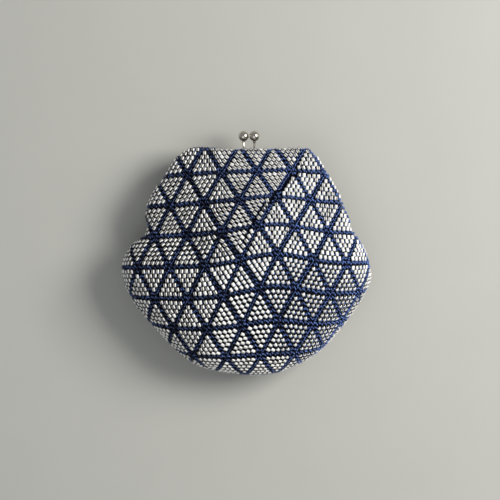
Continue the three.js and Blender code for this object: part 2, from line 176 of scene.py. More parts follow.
# How the beads of the front lie: place, lean to the right of upright in degrees, and how far
# the upper end stands up out of the cloth in degrees
LEAN_MARKS = (
    (-35, 17, 48, 4), (-47, -4, 46, 4), (-25, -7, 42, 6), (-22, 22, 42, 4),
    (-7, 29, -52, 6), (8, 33, -52, 6), (-12, 3, -50, 6), (-3, 14, -52, 6),
    (24, 17, 3, 12), (36, -2, 0, 12), (14, -1, 8, 12), (38, 20, 0, 10),
    (24, -26, -30, 38), (43, -30, -30, 38), (20, -49, -34, 30), (51, -14, -14, 22), (33, -15, -28, 34),
    (-49, -23, -8, 5), (-30, -23, 0, 6), (-16, -23, -14, 14),
    (-2, -33, -46, 22), (-9, -50, -56, 14), (-40, -42, -24, 6), (-26, -46, -16, 8), (8, -60, -62, 10),
)


def linear(code):
    """An sRGB hex colour as linear red, green and blue."""
    parts = [int(code[i:i + 2], 16) / 255 for i in (1, 3, 5)]
    return tuple(p / 12.92 if p <= 0.04045 else ((p + 0.055) / 1.055) ** 2.4 for p in parts)


def size_property(label, text, metres):
    """A length that a user may change."""
    return bpy.props.FloatProperty(
        name=label, description=text, default=metres, subtype="DISTANCE", unit="LENGTH")


def colour_property(label, text, code):
    """A colour that a user may change."""
    return bpy.props.FloatVectorProperty(
        name=label, description=text, default=linear(code), size=3, subtype="COLOR", min=0, max=1)


class PurseSizes(bpy.types.PropertyGroup):
    """Sizes of the beads, the thread and the metal."""

    bead_length: size_property("Bead length", "Length of a cylinder bead along its hole", 0.002)
    bead_diameter: size_property("Bead diameter", "Outside diameter of a bead", 0.0017)
    bead_hole: size_property("Bead hole", "Diameter of the hole that the thread runs through", 0.0009)
    bead_relief: size_property("Bead relief", "How far the bead fields stand over the thread lines", 0.0009)
    thread_diameter: size_property("Thread diameter", "Diameter of the crochet cotton", 0.00046)
    sewing_diameter: size_property(
        "Sewing thread", "Diameter of the thread that sews the bag to the frame", 0.00045)
    ball_diameter: size_property("Clasp ball", "Diameter of each clasp ball", 0.0049)
    camera_height: size_property("Camera height", "Height of the camera over the table", 1.018)


class PurseColours(bpy.types.PropertyGroup):
    """Colours of the glass, the cotton, the metal and the table."""

    # The three bead colours are painted light: the bright one is the painted reflection of the silver
    # lining, the middle one a painted grey reflection over the hole, and the side one painted shade at the
    # bead's sides.
    bead_painted_highlight: colour_property(
        "Bead, bright", "Silver lining seen through the flank of a bead", "#fffdf6")
    bead_painted_middle_reflection: colour_property("Bead, middle", "Grey over the hole in the middle of a bead", "#4a4338")
    bead_painted_side_shade: colour_property(
        "Bead, side", "Dark edge of the glass, where the thread shows through", "#080a12")
    # The thread colours are painted light: the cotton colour is kept near black, so that it is painted shade
    # where the thread dives and between its plies; the light cotton colour is the painted highlight on the
    # thread's crown; and the ground colour is painted shade between and behind the beads.
    cotton: colour_property("Cotton", "Body colour of the crochet cotton", "#080d24")
    cotton_painted_highlight: colour_property("Cotton, worn", "Lighter fibres on the crown of the thread", "#84a9ff")
    ground: colour_property("Crochet ground", "Cotton between and behind the beads", "#05070f")
    nickel: colour_property("Nickel", "Bright nickel plate of the frame and the balls", "#cfc8ba")
    steel: colour_property("Steel", "Plain steel of the hinge rivets", "#a5a3a0")
    lining: colour_property("Lining", "Plain woven cotton inside the bag", "#4d5c80")
    table: colour_property("Table", "Pale matt floor", "#bab9b1")


def millimetres(name):
    """One of the sizes that a user may change, in millimetres."""
    return 1000.0 * getattr(bpy.context.scene.purse_sizes, name)


def colour(name):
    """One of the colours that a user may change, with full alpha."""
    return (*getattr(bpy.context.scene.purse_colours, name), 1.0)


# Geometry of the arch and of the bag's outline


def unit(vectors):
    """Vectors of length one, whose numbers lie along the last axis."""
    return vectors / np.maximum(np.linalg.norm(vectors, axis=-1, keepdims=True), 1e-9)


def arch_line():
    """Points along the arch and their outward directions. The leg rises straight from the hinge,
    and each corner is a round of its radius, tangent to the straight before and after it."""
    ends = np.array([[-HINGE_HALF_WIDTH, 0.0], [HINGE_HALF_WIDTH, 0.0]])
    corners = [np.array(at) for at, _ in ARCH_CORNERS]
    stops = [ends[0], *corners, ends[1]]
    points = [ends[:1]]
    normals = [np.array([[-1.0, 0.0]])]
    for i, (_, radius) in enumerate(ARCH_CORNERS):
        arriving = unit(stops[i + 1] - stops[i])
        leaving = unit(stops[i + 2] - stops[i + 1])
        turn = math.acos(float(np.clip(arriving @ leaving, -1, 1)))
        start = stops[i + 1] - arriving * radius * math.tan(turn / 2)
        outward = np.array([-arriving[1], arriving[0]])
        bend = -np.linspace(0, turn, 12)
        turned = np.stack([
            outward[0] * np.cos(bend) - outward[1] * np.sin(bend),
            outward[0] * np.sin(bend) + outward[1] * np.cos(bend)], axis=1)
        points.append(start - outward * radius + turned * radius)
        normals.append(turned)
    points.append(ends[1:])
    normals.append(np.array([[1.0, 0.0]]))
    return np.concatenate(points), np.concatenate(normals)


def closed_curve(ring, steps):
    """A smooth closed curve through the points of a ring: a centripetal spline, whose slope at a
    point comes from its neighbours, weighted by the square roots of the distances to them."""
    before, here, after, beyond = (np.roll(ring, k, axis=0) for k in (1, 0, -1, -2))
    gap = [np.sqrt(np.linalg.norm(q - p, axis=1))[:, None] for p, q in
           ((before, here), (here, after), (after, beyond))]
    leave = (here - before) / gap[0] - (after - before) / (gap[0] + gap[1]) + (after - here) / gap[1]
    arrive = (after - here) / gap[1] - (beyond - here) / (gap[1] + gap[2]) + (beyond - after) / gap[2]
    t = np.linspace(0, 1, steps, endpoint=False)[None, :, None]
    start, end = here[:, None], after[:, None]
    first, last = (leave * gap[1])[:, None], (arrive * gap[1])[:, None]
    curve = (
        start * (2 * t ** 3 - 3 * t ** 2 + 1) + end * (3 * t ** 2 - 2 * t ** 3)
        + first * (t ** 3 - 2 * t ** 2 + t) + last * (t ** 3 - t ** 2))
    return curve.reshape(-1, 2)


def polar_rule(curve):
    """Angles about the middle of the bag, in rising order, and the curve's distance at each."""
    away = curve - BAG_CENTRE
    angle = np.arctan2(away[:, 1], away[:, 0])
    order = np.argsort(angle)
    return angle[order], np.linalg.norm(away, axis=1)[order]


ARCH_POINTS, ARCH_NORMALS = arch_line()
MOUTH = (ARCH_POINTS + ARCH_NORMALS * CLOTH_OUTSIDE)[1:-1]
OUTLINE = polar_rule(closed_curve(np.concatenate([np.array(BELLY, float), MOUTH[::-1]]), 24))


def outline_radius(angle):
    """Distance from the middle of the bag to its outline, in any direction, with its slack."""
    slack = np.array(SLACK, float)
    even = np.interp(angle, OUTLINE[0], OUTLINE[1], period=2 * math.pi)
    return even + np.interp(angle, np.radians(slack[:, 0]), slack[:, 1])


def walked_along(lines):
    """Length along one or more lines of points up to each point."""
    steps = np.linalg.norm(np.diff(lines, axis=-2), axis=-1)
    return np.concatenate([np.zeros((*steps.shape[:-1], 1)), np.cumsum(steps, axis=-1)], axis=-1)


def smooth(value, low, high):
    """Nothing below low and one above high, with a gentle rise between them."""
    t = np.clip((value - low) / (high - low), 0, 1)
    return t * t * (3 - 2 * t)


def rim_height_over_hinge(angle):
    """How far towards the clasp the outline lies in that direction."""
    return BAG_CENTRE[1] + outline_radius(angle) * np.sin(angle)


def cloth_height(share, angle, crest, arch_depth):
    """Height of the cloth over the plane of the frame at a share of the way to the outline.
    Over the mouth it is a squared cosine down to the arch, closed over the rim. Over the belly
    it is a full round, the root of one less a power of the share."""
    mouth = smooth(rim_height_over_hinge(angle), *MOUTH_BLEND)
    wedge = arch_depth + (crest - arch_depth) * np.cos(math.pi * share / 2) ** 2
    closed = np.sqrt(np.maximum(0, 1 - share ** RIM_POWER))
    belly = crest * np.sqrt(np.maximum(0, 1 - share ** BELLY_POWER))
    return mouth * wedge * closed + (1 - mouth) * belly


def fold_depth(x, y):
    """Depth of the deepest fold at a place: a bell-shaped groove about each fold's line."""
    deepest = np.zeros_like(x)
    for start, end, depth, half_width in FOLDS:
        a = np.array(start)
        d = np.array(end) - a
        along = np.clip(((x - a[0]) * d[0] + (y - a[1]) * d[1]) / (d @ d), 0, 1)
        away = np.hypot(x - a[0] - along * d[0], y - a[1] - along * d[1]) / half_width
        deepest = np.maximum(deepest, depth * np.exp(-away * away))
    return deepest


def crease_parting(x, y):
    """How far places move off the sharp crease, square to it on their own side: a bell of the
    distance to its line, which fades at both ends of the line."""
    line = np.array(CREASE)
    lengths = np.linalg.norm(np.diff(line, axis=0), axis=1)
    walked = walked_along(line)
    nearest = np.full_like(x, np.inf)
    shift = np.zeros(x.shape + (2,))
    for start, step, length, before in zip(line, np.diff(line, axis=0), lengths, walked):
        across, up = x - start[0], y - start[1]
        along = np.clip((across * step[0] + up * step[1]) / length ** 2, 0, 1)
        distance = np.hypot(across - along * step[0], up - along * step[1])
        hand = np.where(step[0] * up - step[1] * across < 0, -1.0, 1.0)
        walk = before + along * length
        fade = smooth(walk, 0, CREASE_GROWS) * (1 - smooth(walk, walked[-1] - CREASE_DIES, walked[-1]))
        part = hand * CREASE_PART * np.exp(-(distance / CREASE_REACH) ** 2) * fade
        moved = part[..., None] * np.array([-step[1], step[0]]) / length
        shift = np.where((distance < nearest)[..., None], moved, shift)
        nearest = np.minimum(nearest, distance)
    return shift


def lip_height(angle):
    """Half of the slit between front and back: open round the mouth, nothing round the belly."""
    return LIP_GAP * smooth(rim_height_over_hinge(angle), *LIP_BLEND)


def cloth_place(angle, share, side, inset=0.0):
    """A place on the cloth by direction, share of the way to the outline, side and inset. The
    bead fields stand over this surface, so it draws in by their relief near the outline."""
    relief = millimetres("bead_relief")
    radius = outline_radius(angle) - inset - relief * share ** RELIEF_POWER
    x = BAG_CENTRE[0] + radius * share * np.cos(angle)
    y = BAG_CENTRE[1] + radius * share * np.sin(angle)
    crest = (FRONT_CREST if side > 0 else BACK_CREST) - inset
    height = cloth_height(share, angle, crest, ARCH_DEPTH - inset)
    if side > 0:
        # Folds and rise fade towards the outline with the fourth power of the way over the cloth
        way = np.arcsin(np.clip(share, 0, 1) * math.sin(CLOTH_ROLL)) / CLOTH_ROLL
        free = 1 - way ** 4
        parted = crease_parting(x, y)
        x = x + parted[..., 0]
        y = y + parted[..., 1]
        height = height - fold_depth(x, y) * free
        away = ((x - RISE_CENTRE[0]) / RISE_REACH[0]) ** 2
        away = away + ((y - RISE_CENTRE[1]) / RISE_REACH[1]) ** 2
        y = y + RISE * free * np.exp(-away)
    else:
        height = np.minimum(height, BACK_DEPTH - relief - inset)
    height = np.maximum(height, lip_height(angle))
    return np.stack([x, y, side * height], axis=-1)


def roll_tables(side):
    """For each direction, how far along the flat cloth every share of the way lies. The middle
    is taken as it was laid out, and past ROLL_START it is the true length over the edge."""
    angles = np.linspace(-math.pi, math.pi, 361)
    shares = np.sin(np.linspace(0, math.pi / 2, 220))
    grid_angle, grid_share = np.meshgrid(angles, shares, indexing="ij")
    radius = outline_radius(grid_angle)
    height = cloth_height(grid_share, grid_angle, FRONT_CREST if side > 0 else BACK_CREST, ARCH_DEPTH)
    if side < 0:
        height = np.minimum(height, BACK_DEPTH)
    step = np.hypot(np.diff(radius * grid_share, axis=1), np.diff(height, axis=1))
    length = np.concatenate([np.zeros((len(angles), 1)), np.cumsum(step, axis=1)], axis=1)
    laid = CLOTH_SPREAD * radius * np.arcsin(grid_share * math.sin(CLOTH_ROLL)) / CLOTH_ROLL
    turn = np.searchsorted(shares, ROLL_START)
    flat = np.where(
        np.arange(len(shares))[None] < turn, laid,
        laid[:, turn:turn + 1] + length - length[:, turn:turn + 1])
    return angles, shares, flat


ROLL = {}


def cloth_share(angle, distance, side):
    """Share of the way to the outline at a distance along the flat cloth, looked up between the
    two nearest directions, and one past the end of the cloth."""
    if side not in ROLL:
        ROLL[side] = roll_tables(side)
    angles, shares, flat = ROLL[side]
    turn = 2 * math.pi
    spot = ((angle + math.pi) % turn) / turn * (len(angles) - 1)
    low = np.minimum(spot.astype(int), len(angles) - 2)
    mix = (spot - low)[:, None]
    rows = flat[low] * (1 - mix) + flat[low + 1] * mix
    after = np.clip((rows < distance[:, None]).sum(axis=1), 1, len(shares) - 1)
    pick = np.arange(len(distance))
    start = rows[pick, after - 1]
    part = np.clip((distance - start) / (rows[pick, after] - start), 0, 1)
    over = distance > rows[:, -1]
    return shares[after - 1] * (1 - part) + shares[after] * part, over


def on_cloth(flat, side):
    """Places on the front (side 1) or the back (side -1) for points of the flat cloth."""
    away = flat - BAG_CENTRE
    angle = np.arctan2(away[:, 1], away[:, 0])
    share, over = cloth_share(angle, np.linalg.norm(away, axis=1), side)
    return cloth_place(angle, share, side), angle, over


def cloth_frames(flat, side):
    """Places, and the directions across, up and out of the cloth there, from small steps on the
    flat cloth to both sides."""
    place, angle, over = on_cloth(flat, side)
    step = 0.35
    across = on_cloth(flat + [step, 0], side)[0] - on_cloth(flat - [step, 0], side)[0]
    up = on_cloth(flat + [0, step], side)[0] - on_cloth(flat - [0, step], side)[0]
    out = unit(np.cross(across, up) * side)
    across = unit(across)
    return place, across, np.cross(out, across) * side, out, angle, over


def stitches(side, beaded):
    """The stitches of one side that hold a bead, or else the bare ones on the three families of
    lattice lines: columns a and rounds b, and the place and frame of each on the cloth. On the
    flat cloth one lies (a + b / 2) stitches across and b rounds down from one node. The front
    takes the stitches down to the side and the back those that are left."""
    a, b = np.meshgrid(np.arange(-60, 90), np.arange(-25, 75), indexing="ij")
    a, b = a.ravel(), b.ravel()
    flat = np.stack([(a + b / 2) * STITCH, -b * ROUND], axis=1) + LATTICE_NODE
    c, s = math.cos(LATTICE_TURN), math.sin(LATTICE_TURN)
    flat = np.stack([flat[:, 0] * c - flat[:, 1] * s, flat[:, 0] * s + flat[:, 1] * c], axis=1)
    bead = (a % REPEAT != 0) & (b % REPEAT != 0) & ((a + b) % REPEAT != 0)
    near = (np.linalg.norm(flat - BAG_CENTRE, axis=1) < CLOTH_REACH) & (bead == beaded)
    place, across, up, out, angle, over = cloth_frames(flat[near], side)
    lip = lip_height(angle)
    lowest = np.where(lip > 1, lip + LIP_CLEAR, SEAM_CLEAR[side])
    keep = ~over & (np.abs(place[:, 2]) > lowest)
    return [part[keep] for part in (a[near], b[near], place, across, up, out)]


def laid(place, across, up, out, u, v, h):
    """Paths over the cloth: u across, v up and h out of it from each place."""
    return (place[:, None] + across[:, None] * u[..., None]
            + up[:, None] * v[..., None] + out[:, None] * h[..., None])


# Meshes


def add_piece(name, points, faces, material, uv=None, values=None):
    """Makes one mesh object from points in millimetres about the hinge and lists of faces with
    3 or 4 corners each. uv holds two numbers a corner, and values names numbers of points."""
    faces = [np.asarray(f, dtype=np.int32) for f in faces if len(f)]
    mesh = bpy.data.meshes.new(name)
    mesh.vertices.add(len(points))
    mesh.vertices.foreach_set("co", ((points + HINGE) * 0.001).astype(np.float32).ravel())
    loops = np.concatenate([f.ravel() for f in faces])
    totals = np.concatenate([np.full(len(f), f.shape[1], np.int32) for f in faces])
    mesh.loops.add(len(loops))
    mesh.loops.foreach_set("vertex_index", loops)
    mesh.polygons.add(len(totals))
    starts = np.concatenate([[0], np.cumsum(totals)[:-1]]).astype(np.int32)
    mesh.polygons.foreach_set("loop_start", starts)
    mesh.polygons.foreach_set("loop_total", totals)
    mesh.update(calc_edges=True)
    mesh.polygons.foreach_set("use_smooth", np.ones(len(totals), bool))
    if uv is not None:
        layer = mesh.uv_layers.new(name="lay")
        layer.data.foreach_set("uv", np.concatenate([np.asarray(u).reshape(-1, 2) for u in uv])
                               .astype(np.float32).ravel())
    for key, numbers in (values or {}).items():
        layer = mesh.attributes.new(key, "FLOAT", "POINT")
        layer.data.foreach_set("value", np.asarray(numbers, np.float32))
    mesh.materials.append(material)
    piece = bpy.data.objects.new(name, mesh)
    bpy.context.scene.collection.objects.link(piece)
    return piece


def grid_faces(rows, columns):
    """Four-cornered faces of a grid of points stored row by row, whose rows close on themselves."""
    i = np.arange(rows - 1)[:, None]
    j = np.arange(columns)[None, :]
    jj = (j + 1) % columns
    row, after = i * columns, (i + 1) * columns
    return np.stack([row + j, row + jj, after + jj, after + j], axis=-1).reshape(-1, 4)


def cap_faces(rings, sides):
    """Fans that close a stack of rings onto two tips, whose points come after the rings."""
    k = np.arange(sides)
    k_next = (k + 1) % sides
    last = (rings - 1) * sides
    foot = np.stack([np.full(sides, rings * sides), k_next, k], axis=1)
    head = np.stack([np.full(sides, rings * sides + 1), last + k, last + k_next], axis=1)
    return np.concatenate([foot, head])


def revolved(profile, sides):
    """A closed turned shape about y. The profile lists (y, radius) from end to end, and both
    ends lie on the axis. Returns points, four-cornered faces, three-cornered faces and, for
    each face, its corners' turn about the axis and place along the profile, from 0 to 1."""
    profile = np.asarray(profile, float)
    rings = profile[1:-1]
    turn = 2 * math.pi * np.arange(sides) / sides
    x = -rings[:, 1:2] * np.sin(turn)
    z = -rings[:, 1:2] * np.cos(turn)
    y = np.repeat(rings[:, :1], sides, axis=1)
    points = np.concatenate([
        np.stack([x, y, z], axis=-1).reshape(-1, 3),
        [[0, profile[0, 0], 0], [0, profile[-1, 0], 0]]])
    count = len(rings)
    k = np.arange(sides)
    along = (np.arange(count) + 1) / (count + 1)
    i, j = np.divmod(np.arange((count - 1) * sides), sides)

    def corners(*spots):
        """Both numbers of the corners of faces, which are given by sides turned and place along."""
        return np.stack([np.stack(np.broadcast_arrays(x / sides, y), axis=-1) for x, y in spots], axis=1)

    quad_uv = corners((j, along[i]), (j + 1, along[i]), (j + 1, along[i + 1]), (j, along[i + 1]))
    foot_uv = corners((k + 0.5, 0.0), (k + 1, along[0]), (k, along[0]))
    head_uv = corners((k + 0.5, 1.0), (k, along[-1]), (k + 1, along[-1]))
    cap_uv = np.concatenate([foot_uv, head_uv])
    return points, grid_faces(count, sides), cap_faces(count, sides), quad_uv, cap_uv


def repeated(shape, directions, centres):
    """Copies of one shape, each turned to three directions (n, 3, 3 as columns) and moved."""
    points, quads, triangles, quad_uv, triangle_uv = shape
    count = len(centres)
    placed = np.einsum("nij,kj->nki", directions, points) + centres[:, None]
    shift = (np.arange(count) * len(points))[:, None, None]
    return (
        placed.reshape(-1, 3),
        [(quads[None] + shift).reshape(-1, 4), (triangles[None] + shift).reshape(-1, 3)],
        [np.tile(quad_uv.reshape(-1, 2), (count, 1)), np.tile(triangle_uv.reshape(-1, 2), (count, 1))])


def tubes(paths, radius, out, sides):
    """Round threads along many paths of the same number of points (n, m, 3), closed at both
    ends by a point. Each section is a circle across the path, set up from the direction out.
    The corners' second number runs round the thread and the first along it, in millimetres."""
    count, steps = paths.shape[:2]
    forward = unit(np.gradient(paths, axis=1))
    side = unit(np.cross(forward, out[:, None] * np.ones((1, steps, 1))))
    rise = np.cross(side, forward)
    turn = 2 * math.pi * np.arange(sides) / sides
    taper = np.ones(steps)
    taper[[0, -1]] = END_TAPER
    rings = paths[:, :, None] + radius * taper[None, :, None, None] * (
        rise[:, :, None] * np.cos(turn)[None, None, :, None]
        + side[:, :, None] * np.sin(turn)[None, None, :, None])
    tip = forward[:, [0, -1]] * radius * END_LENGTH * np.array([[-1], [1]])
    tips = paths[:, [0, -1]] + tip
    points = np.concatenate([rings.reshape(count, -1, 3), tips], axis=1)
    quads = grid_faces(steps, sides)
    caps = cap_faces(steps, sides)
    shift = (np.arange(count) * points.shape[1])[:, None, None]
    length = walked_along(paths)
    ring_uv = np.stack([
        np.repeat(length[:, :, None], sides, axis=2),
        np.broadcast_to(np.arange(sides) / sides, (count, steps, sides))], axis=-1).reshape(count, -1, 2)
    tip_uv = np.stack([length[:, [0, -1]], np.full((count, 2), 0.5)], axis=-1)
    corner = np.concatenate([ring_uv, tip_uv], axis=1)
    quad_uv = corner[:, quads]
    wrap = (quads % sides == 0) & ((quads % sides).max(axis=1) == sides - 1)[:, None]
    quad_uv[..., 1] += wrap[None]
    return (
        points.reshape(-1, 3),
        [(quads[None] + shift).reshape(-1, 4), (caps[None] + shift).reshape(-1, 3)],
        [quad_uv.reshape(-1, 2), corner[:, caps].reshape(-1, 2)])


def crown_painted_highlight(strength, bow, sides):
    """How light each point of many threads is painted: the thread's own strength as a painted highlight
    on its crown, and hardly any, a painted shade, where its ends dive into the cloth. Follows the order of
    points of tubes."""
    tone = END_TONE + (1 - END_TONE) * bow ** CROWN_POWER
    along = np.concatenate([np.repeat(tone, sides), [END_TONE, END_TONE]])
    return (strength[:, None] * along[None]).ravel()


def cloth_shell(angle, share, side, insets, pleat=0.0):
    """A closed shell between two insets from the cloth, over a grid of directions and shares
    whose first row runs round the middle. Returns points, four- and three-cornered faces."""
    rows, spokes = share.shape
    layers = []
    for inset in insets:
        layers.append(cloth_place(angle, share, side, inset + pleat).reshape(-1, 3))
        layers.append(cloth_place(np.zeros(1), np.zeros(1), side, inset))
    half = rows * spokes + 1
    last = (rows - 1) * spokes
    k = np.arange(spokes)
    k_next = (k + 1) % spokes
    quads = np.concatenate([
        grid_faces(rows, spokes), grid_faces(rows, spokes)[:, ::-1] + half,
        np.stack([last + k, last + k_next, half + last + k_next, half + last + k], axis=1)])
    fans = np.concatenate([
        np.stack([np.full(spokes, half - 1), k_next, k], axis=1),
        np.stack([np.full(spokes, 2 * half - 1), half + k, half + k_next], axis=1)])
    if side > 0:
        quads, fans = quads[:, ::-1], fans[:, ::-1]
    return np.concatenate(layers), quads, fans


def joined(parts):
    """Several results of repeated or tubes as one."""
    points, quads, triangles, quad_uv, triangle_uv = [], [], [], [], []
    start = 0
    for part_points, (part_quads, part_triangles), (part_quad_uv, part_triangle_uv) in parts:
        points.append(part_points)
        quads.append(part_quads + start)
        triangles.append(part_triangles + start)
        quad_uv.append(part_quad_uv)
        triangle_uv.append(part_triangle_uv)
        start += len(part_points)
    return (np.concatenate(points), [np.concatenate(quads), np.concatenate(triangles)],
            [np.concatenate(quad_uv), np.concatenate(triangle_uv)])


# Where pieces belong


def follow(piece, side, slot, *nodes):
    """The front stays fixed where it lies, and the back rides on the rear half. nodes are the CAD
    nodes that the piece stands for, which are hidden."""
    if side > 0:
        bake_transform(piece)
    else:
        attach(piece, "rear_half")
    if nodes:
        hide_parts(*nodes)


def side_name(side, other="back"):
    """The side's name in the names of pieces and bodies."""
    return "front" if side > 0 else other


# Materials


def add_node(tree, kind, settings=None, values=None, links=None):
    """Adds a node to a tree: settings are its own properties, values its sockets' numbers, and
    links the output that feeds each named or numbered socket. stops are a ramp's colours."""
    node = tree.nodes.new(kind)
    settings = dict(settings or {})
    stops = settings.pop("stops", None)
    for key, value in settings.items():
        setattr(node, key, value)
    if stops:
        elements = node.color_ramp.elements
        while len(elements) < len(stops):
            elements.new(0.5)
        for element, (place, shade) in zip(elements, stops):
            element.position = place
            element.color = shade
    for key, value in (values or {}).items():
        node.inputs[key].default_value = value
    for key, source in (links or {}).items():
        tree.links.new(source, node.inputs[key])
    return node


def new_material(name, values):
    """A material with one Principled shader, whose own sockets hold what is the same all over."""
    material = bpy.data.materials.new(name)
    material.use_nodes = True
    tree = material.node_tree
    shader = tree.nodes["Principled BSDF"]
    for key, value in values.items():
        shader.inputs[key].default_value = value
    return material, tree, shader


def grey(level):
    """A grey, with full alpha."""
    return (level, level, level, 1.0)


def parted(terms):
    """Terms by socket, parted into plain values and the outputs of other nodes."""
    sources = {key: term for key, term in terms.items() if isinstance(term, bpy.types.NodeSocket)}
    return {key: term for key, term in terms.items() if key not in sources}, sources


def arithmetic(tree, operation, *terms, clamp=False):
    """One step of arithmetic on plain numbers and outputs."""
    settings = {"operation": operation, "use_clamp": clamp}
    return add_node(tree, "ShaderNodeMath", settings, *parted(dict(enumerate(terms)))).outputs[0]


def blended(tree, factor, low, high, blend_type="MIX"):
    """Two colours mixed by a factor. All three are plain values or outputs."""
    settings = {"data_type": "RGBA", "blend_type": blend_type}
    terms = parted({"Factor": factor, "A": low, "B": high})
    return add_node(tree, "ShaderNodeMix", settings, *terms).outputs["Result"]


def ranged(tree, source, **ends):
    """A number moved from one range to another. Each end is 0 or 1 unless it is given."""
    values = {key.replace("_", " ").title(): value for key, value in ends.items()}
    return add_node(tree, "ShaderNodeMapRange", values=values, links={"Value": source}).outputs["Result"]


def ramp(tree, source, *stops):
    """Colours along a number, from places and colours up to 0.5, and mirrored past it."""
    stops += tuple((1 - place, shade) for place, shade in stops[::-1])
    return add_node(tree, "ShaderNodeValToRGB", {"stops": stops}, links={0: source}).outputs["Color"]


def attribute(tree, name):
    """One of the numbers that add_piece gives to points."""
    return add_node(tree, "ShaderNodeAttribute", {"attribute_name": name}).outputs["Fac"]


def lay(tree):
    """The two numbers that add_piece gives to corners, as one vector."""
    return add_node(tree, "ShaderNodeUVMap", {"uv_map": "lay"}).outputs["UV"]


def lay_wave(tree, operation, across, up):
    """A SINE or COSINE over the cloth, with so many radians a millimetre across and up."""
    turned = add_node(tree, "ShaderNodeVectorMath", {"operation": "DOT_PRODUCT"},
                      {1: (across, up, 0)}, {0: lay(tree)})
    return arithmetic(tree, operation, turned.outputs["Value"])


def cloud(tree, scale, detail):
    """A cloudy pattern that is fixed to the object, from 0 to 1."""
    spot = add_node(tree, "ShaderNodeTexCoord")
    values = {"Scale": scale, "Detail": detail}
    return add_node(tree, "ShaderNodeTexNoise", values=values,
                    links={"Vector": spot.outputs["Object"]}).outputs["Fac"]


def bump(tree, shader, height, strength, distance):
    """Small relief from a height. distance is how deep it is, in metres."""
    node = add_node(tree, "ShaderNodeBump", values={"Strength": strength, "Distance": distance},
                    links={"Height": height})
    tree.links.new(node.outputs["Normal"], shader.inputs["Normal"])


def darker(base, share):
    """A colour with a share of its light."""
    return tuple(c * share for c in base[:3]) + (1.0,)


def silver_lined_glass():
    """Silver-lined glass, drawn as a tube, cut to beads and tumbled. The lining's reflection is
    painted as two bright stripes along each bead, with a painted grey reflection in the middle over
    the hole and painted shade at the sides, and painted shade darkens the ends of each bead. A bead
    that stands up out of the cloth shows one painted bright field instead, which core says."""
    material, tree, shader = new_material("silver_lined_glass", {
        "Roughness": 0.32, "Coat Weight": 0.6, "Coat Roughness": 0.08})
    split = add_node(tree, "ShaderNodeSeparateXYZ", links={0: lay(tree)})
    round_bead, along_bead = split.outputs["X"], split.outputs["Y"]
    bright, middle, flank = colour("bead_painted_highlight"), colour("bead_painted_middle_reflection"), colour("bead_painted_side_shade")
    core = attribute(tree, "core")
    # Painted reflection of the silver lining: bright stripes, a grey middle and dark sides, or one bright
    # field on a standing bead
    painted_lining_reflection = blended(
        tree, core,
        ramp(tree, round_bead, (0.29, flank), (0.35, bright), (0.425, bright), (0.46, middle)),
        ramp(tree, round_bead, (0.28, flank), (0.345, bright)))
    # Painted shade at the ends of each bead, darkest where beads meet in the gaps between rows
    ends = blended(
        tree, core,
        ramp(tree, along_bead, (0.3, grey(0.01)), (0.43, grey(0.4)), (0.455, grey(1.0))),
        ramp(tree, along_bead, (0.12, grey(0.02)), (0.17, grey(0.2)), (0.22, grey(1.0))))
    shaded = blended(tree, 1.0, painted_lining_reflection, ends, "MULTIPLY")
    toned = blended(tree, 1.0, shaded, attribute(tree, "tone"), "MULTIPLY")
    tree.links.new(toned, shader.inputs["Base Color"])
    return material


def mercerised_cotton(name, dark, light):
    """Mercerised crochet cotton: two plies of long smooth fibres, twisted once every 1.4 mm. It is
    painted from dark to light: a painted highlight along the crown of the thread and of each ply, and
    painted shade between the plies."""
    twist = 1.4
    plies = 2
    material, tree, shader = new_material(name, {
        "Roughness": 0.46, "Specular IOR Level": 0.3, "Sheen Weight": 0.08, "Sheen Roughness": 0.4})
    split = add_node(tree, "ShaderNodeSeparateXYZ", links={0: lay(tree)})
    along = arithmetic(tree, "MULTIPLY", split.outputs["X"], 1 / twist)
    turned = arithmetic(tree, "ADD", along, split.outputs["Y"])
    wave = arithmetic(tree, "SINE", arithmetic(tree, "MULTIPLY", turned, plies * 2 * math.pi))
    ply = ranged(tree, wave, from_min=-1.0, from_max=1.0)
    fibre = ranged(tree, cloud(tree, 700.0, 3.0), to_min=0.2, to_max=1.3)
    # Painted highlight on each ply's crown and painted shade between the plies, with a random fibre tone
    painted_light = arithmetic(tree, "MULTIPLY_ADD", ply, 0.5, 0.5)
    painted_sheen = arithmetic(tree, "MULTIPLY", painted_light, fibre)
    amount = arithmetic(tree, "MULTIPLY", painted_sheen, attribute(tree, "tone"), clamp=True)
    tree.links.new(blended(tree, amount, dark, light), shader.inputs["Base Color"])
    bump(tree, shader, ply, 0.6, 0.00012)
    return material


def crochet_ground():
    """The same cotton, worked in tight single crochet: rows of small loops 2.4 by 2.1 mm, dark
    because it lies in the shade between the beads."""
    material, tree, shader = new_material("single_crochet_cotton", {
        "Roughness": 0.8, "Specular IOR Level": 0.1})
    turn = 2 * math.pi
    first, second, third = (
        lay_wave(tree, "COSINE", turn * across, turn * up)
        for across, up in ((1 / STITCH, 0.5 / ROUND), (1 / STITCH, -0.5 / ROUND), (0.0, 1 / ROUND)))
    total = arithmetic(tree, "ADD", arithmetic(tree, "ADD", first, second), third)
    level = ranged(tree, total, from_min=-2.0, from_max=3.0)
    shade = blended(tree, level, colour("ground"), darker(colour("cotton"), 0.55))
    tree.links.new(shade, shader.inputs["Base Color"])
    bump(tree, shader, level, 1.0, 0.0004)
    return material


def worn_metal(name, base, share, pattern, dull, shiny):
    """Bare metal whose colour and gloss follow a pattern of scale and detail, from a share of
    the base colour to all of it."""
    material, tree, shader = new_material(name, {"Metallic": 1.0})
    marks = cloud(tree, *pattern)
    tree.links.new(blended(tree, marks, darker(base, share), base), shader.inputs["Base Color"])
    tree.links.new(ranged(tree, marks, to_min=shiny, to_max=dull), shader.inputs["Roughness"])
    return material


